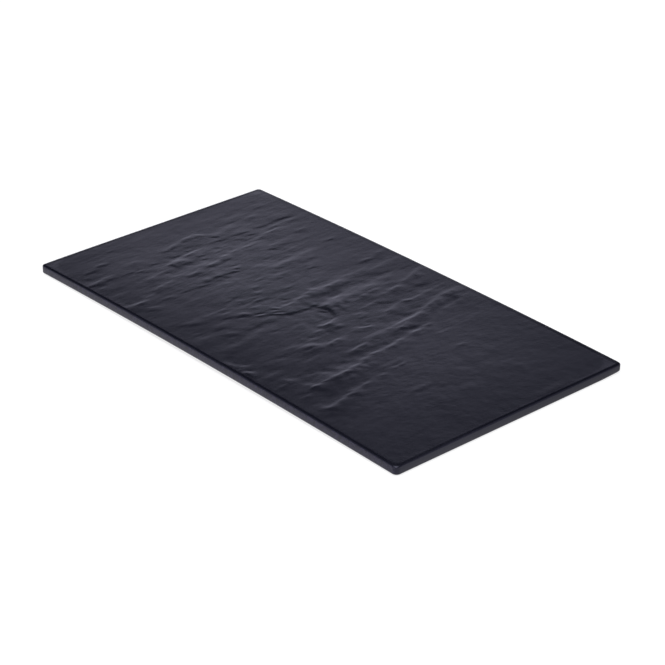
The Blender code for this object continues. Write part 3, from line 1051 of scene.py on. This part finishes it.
def melamine_painted_shade(place, facing):
    """Painted shade: the share of the gloss that is taken away to darken zones, edges and rims, by a place
    on the platter and the upward share of its normal.
    """
    x = place.dot((1, 0, 0))
    y = place.dot((0, 1, 0))
    from_end = LENGTH / 2 - x.size()
    from_side = WIDTH / 2 - y.size()
    from_edge = from_end.math("SMOOTH_MIN", from_end, from_side, EDGE_BLEND)
    painted_shade = EDGE_PAINTED_SHADE * (from_edge.ease(*EDGE_GROWS) - from_edge.ease(*EDGE_FADES))

    right = x.ease(*RIGHT_ZONE)
    near = 1 - y.ease(*NEAR_ZONE)
    far_right = right * y.ease(*FAR_ZONE)
    near_left = near * (1 - x.ease(*LEFT_ZONE))
    painted_shade = painted_shade + FAR_RIGHT_PAINTED_SHADE * far_right - NEAR_RIGHT_PAINTED_LIGHT * right * near + NEAR_LEFT_PAINTED_SHADE * near_left

    # Painted shade: the rims' dark lines, left out on the glossy near right end and corner
    nearest = from_end.math("MINIMUM", from_end, from_side)
    rim = (1 - nearest.ease(*RIM_ZONE)) * (facing.ease(*RIM_SLOPE) - facing.ease(*FACE_SLOPE))
    glossy_end = x.ease(*GLOSSY_END_X) * (1 - y.ease(*GLOSSY_END_Y))
    from_front_corner = LENGTH / 2 + WIDTH / 2 - x + y
    painted_shade = painted_shade + RIM_PAINTED_SHADE * rim * (1 - glossy_end) * from_front_corner.ease(*FRONT_CORNER_ZONE)

    # Painted shade: a darker line along the far rim and the left end's rim
    from_back = x.math("MINIMUM", WIDTH / 2 - y, LENGTH / 2 + x)
    back_rim = (1 - from_back.ease(*BACK_RIM_ZONE)) * facing.ease(*RIM_SLOPE)
    return painted_shade + (BACK_RIM_PAINTED_SHADE + BACK_RIGHT_PAINTED_SHADE * right) * back_rim


def make_black_melamine():
    """Satin black with clouds, grit and fine streaks; long walls painted paler as painted light, with
    random patches; and gloss taken away in zones as painted shade.
    """
    material, wire = new_material("black_melamine")
    place = wire.node("ShaderNodeTexCoord", output="Object")
    normal = wire.node("ShaderNodeNewGeometry", output="Normal")
    cloud = place.noise(scale=45, detail=3)
    grit = place.noise(scale=600, detail=3, roughness=0.6)
    patches = place.noise(scale=420, detail=4, roughness=0.65).ease(0.38, 0.62)
    along_grain = wire.node("ShaderNodeVectorMath", {"operation": "MULTIPLY"}, {0: place, 1: (1, 0.25, 1)})
    streaks = along_grain.noise(scale=900, detail=3, roughness=0.6)
    # Painted light: the long walls are coloured paler than the face and the short ends
    painted_light_long_wall = normal.dot((0, 1, 0)).size().ease(*WALL_SLOPE)
    face_colour = (0.6 * cloud + 0.4 * grit).blend(*FACE_COLOURS)
    inputs = {
        "Base Color": painted_light_long_wall.blend(face_colour, patches.blend(*PAINTED_LIGHT_WALL_COLOURS)),
        "Roughness": 0.20 + 0.05 * cloud + 0.05 * grit,
        "IOR": 1.42,
        "Specular Tint": GLOSS_TINT,
        "Normal": (0.5 * grit + 0.5 * streaks).bump(strength=1.0, distance=0.0001),
    }
    glossy = wire.node("ShaderNodeBsdfPrincipled", inputs={**inputs, "Specular IOR Level": 0.5})
    dull = wire.node("ShaderNodeBsdfPrincipled", inputs={**inputs, "Specular IOR Level": 0})
    # Painted shade: the gloss is mixed away by place and slope, to darken zones of the face and the rims
    painted_shade = melamine_painted_shade(place, facing=normal.dot((0, 0, 1)))
    surface = wire.node("ShaderNodeMixShader", inputs={0: painted_shade, 1: glossy, 2: dull})
    wire.node("ShaderNodeOutputMaterial", inputs={"Surface": surface})
    return material


def make_grey_silicone():
    """Matte grey with fine dust."""
    material, wire = new_material("grey_silicone")
    place = wire.node("ShaderNodeTexCoord", output="Object")
    cloud = place.noise(scale=400, detail=3)
    dust = place.noise(scale=3000, detail=2)
    inputs = {
        "Base Color": (0.5 * cloud + 0.5 * dust).blend(*SILICONE_COLOURS),
        "Roughness": 0.55 + 0.15 * cloud,
        "IOR": 1.41,
        "Normal": dust.bump(strength=0.6, distance=0.00002),
    }
    surface = wire.node("ShaderNodeBsdfPrincipled", inputs=inputs)
    wire.node("ShaderNodeOutputMaterial", inputs={"Surface": surface})
    return material


def make_white_adhesive():
    """Off-white foam with fine cells."""
    material, wire = new_material("white_adhesive")
    place = wire.node("ShaderNodeTexCoord", output="Object")
    cells = wire.node("ShaderNodeTexVoronoi", inputs={"Vector": place, "Scale": 2500}, output="Distance")
    stain = place.noise(scale=300, detail=2)
    inputs = {
        "Base Color": stain.blend(*ADHESIVE_COLOURS),
        "Roughness": 0.6 + 0.2 * stain,
        "IOR": 1.47,
        "Normal": cells.bump(strength=0.8, distance=0.00006),
    }
    surface = wire.node("ShaderNodeBsdfPrincipled", inputs=inputs)
    wire.node("ShaderNodeOutputMaterial", inputs={"Surface": surface})
    return material


# The studio


def make_white_table():
    """A table that shows white and still takes the platter's shadow, and that isn't there from below."""
    material, wire = new_material("white_table")
    rays = wire.node("ShaderNodeLightPath").output.node.outputs
    seen = Wire(wire.tree, rays["Is Camera Ray"])
    for name in ("Is Glossy Ray", "Is Transmission Ray"):
        seen = seen.math("MAXIMUM", seen, Wire(wire.tree, rays[name]))
    paint = wire.node("ShaderNodeBsdfDiffuse", inputs={"Color": TABLE_GREY})
    glow = wire.node("ShaderNodeEmission", inputs={"Color": WHITE, "Strength": TABLE_GLOW * seen})
    lit = wire.node("ShaderNodeAddShader", inputs={0: paint, 1: glow})
    clear = wire.node("ShaderNodeBsdfTransparent")
    below = wire.node("ShaderNodeNewGeometry", output="Backfacing")
    surface = wire.node("ShaderNodeMixShader", inputs={0: below, 1: lit, 2: clear})
    wire.node("ShaderNodeOutputMaterial", inputs={"Surface": surface})
    return material


def make_table():
    """The white table, far wider than the picture."""
    far = TABLE_REACH
    mesh = bpy.data.meshes.new("table")
    mesh.from_pydata([(-far, -far, 0), (far, -far, 0), (far, far, 0), (-far, far, 0)], [], [(0, 1, 2, 3)])
    mesh.materials.append(make_white_table())
    table = bpy.data.objects.new("table", mesh)
    bpy.context.scene.collection.objects.link(table)


def aim(azimuth, elevation):
    """The direction from the platter that is that many degrees round from -Y towards +X, and up."""
    round_z = math.radians(azimuth)
    up = math.radians(elevation)
    return Vector((math.sin(round_z) * math.cos(up), -math.cos(round_z) * math.cos(up), math.sin(up)))


def make_sky():
    """A pale band round the horizon under a dim ceiling, and a softbox overhead.

    The band stands higher at either side, where flags dim it. The camera itself sees a white backdrop.
    """
    world = bpy.data.worlds.new("studio")
    world.use_nodes = True
    world.node_tree.nodes.clear()
    bpy.context.scene.world = world
    wire = Wire(world.node_tree)
    direction = wire.node("ShaderNodeTexCoord", output="Generated")
    height = direction.dot((0, 0, 1))
    sideways = direction.dot(aim(SIDE_AZIMUTH, 0))
    lean = BAND_LEAN * sideways * direction.dot(aim(BACK_AZIMUTH, 0))
    rise = BAND_RISE * sideways.size().ease(*BAND_SIDES)
    stops = []
    for elevation, level in BAND_LEVELS:
        stops.append((math.sin(math.radians(elevation)), [level * share for share in BAND_TINT]))
    band = wire.node("ShaderNodeValToRGB", {"stops": stops}, {"Fac": height - lean - rise})
    flag = sideways.size().ease(*FLAG_SIDES)
    edges = [math.cos(math.radians(angle)) for angle in SOFTBOX_EDGE]
    softbox = SOFTBOX_STRENGTH * direction.dot(aim(*SOFTBOX_AIM)).ease(*edges)
    sky = wire.node("ShaderNodeBackground", inputs={"Color": band, "Strength": 1 - FLAG_LOSS * flag})
    lamps = wire.node("ShaderNodeBackground", inputs={"Color": WHITE, "Strength": softbox})
    light = wire.node("ShaderNodeAddShader", inputs={0: sky, 1: lamps})
    backdrop = wire.node("ShaderNodeBackground", inputs={"Color": WHITE, "Strength": 1})
    seen = wire.node("ShaderNodeLightPath", output="Is Camera Ray")
    surface = wire.node("ShaderNodeMixShader", inputs={0: seen, 1: light, 2: backdrop})
    wire.node("ShaderNodeOutputWorld", inputs={"Surface": surface})


def make_key_light():
    """A soft light from over the camera."""
    lamp = bpy.data.lights.new("key_light", "SUN")
    lamp.angle = KEY_SPREAD
    lamp.energy = KEY_STRENGTH
    key = bpy.data.objects.new("key_light", lamp)
    key.rotation_euler = aim(*KEY_AIM).to_track_quat("Z", "Y").to_euler()
    bpy.context.scene.collection.objects.link(key)


def make_camera():
    """The camera of the photograph."""
    roll = math.radians(VIEW_ROLL)
    back = aim(VIEW_AZIMUTH, VIEW_ELEVATION)
    level_right = Vector((0, 0, 1)).cross(back).normalized()
    level_up = back.cross(level_right)
    right = math.cos(roll) * level_right + math.sin(roll) * level_up
    up = math.cos(roll) * level_up - math.sin(roll) * level_right
    metres_per_pixel = VIEW_DISTANCE / FOCAL_PIXELS
    place = Vector((0, 0, END_CLEARANCE)) + VIEW_DISTANCE * back
    place += metres_per_pixel * (CENTRE_DOWN * up - CENTRE_RIGHT * right)
    data = bpy.data.cameras.new("photo_camera")
    data.sensor_width = SENSOR
    data.lens = FOCAL_PIXELS * SENSOR / PHOTO_SIDE
    camera = bpy.data.objects.new("photo_camera", data)
    camera.matrix_world = Matrix.Translation(place) @ Matrix((right, up, back)).transposed().to_4x4()
    bpy.context.scene.collection.objects.link(camera)
    bpy.context.scene.camera = camera


def main():
    melamine = make_black_melamine()
    silicone = make_grey_silicone()
    adhesive = make_white_adhesive()
    body = cut_pockets(make_platter_mesh())
    add_piece("slate_platter_body", body, melamine, "platter_body")
    for place, centre in FOOT_CENTRES.items():
        node = f"non_slip_foot_{place}"
        low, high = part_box(node)
        mesh = turned_mesh(f"ribbed_foot_{place}", foot_profile(high.z, (high.x - low.x) / 2))
        mesh.transform(Matrix.Translation((*centre, 0)))
        add_piece(f"ribbed_foot_{place}", mesh, silicone, node)
        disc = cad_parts[f"adhesive_disc_{place}"]
        disc.material_slots[0].material = adhesive
    make_table()
    make_sky()
    make_key_light()
    make_camera()
    bpy.context.scene.view_settings.view_transform = "Standard"


main()
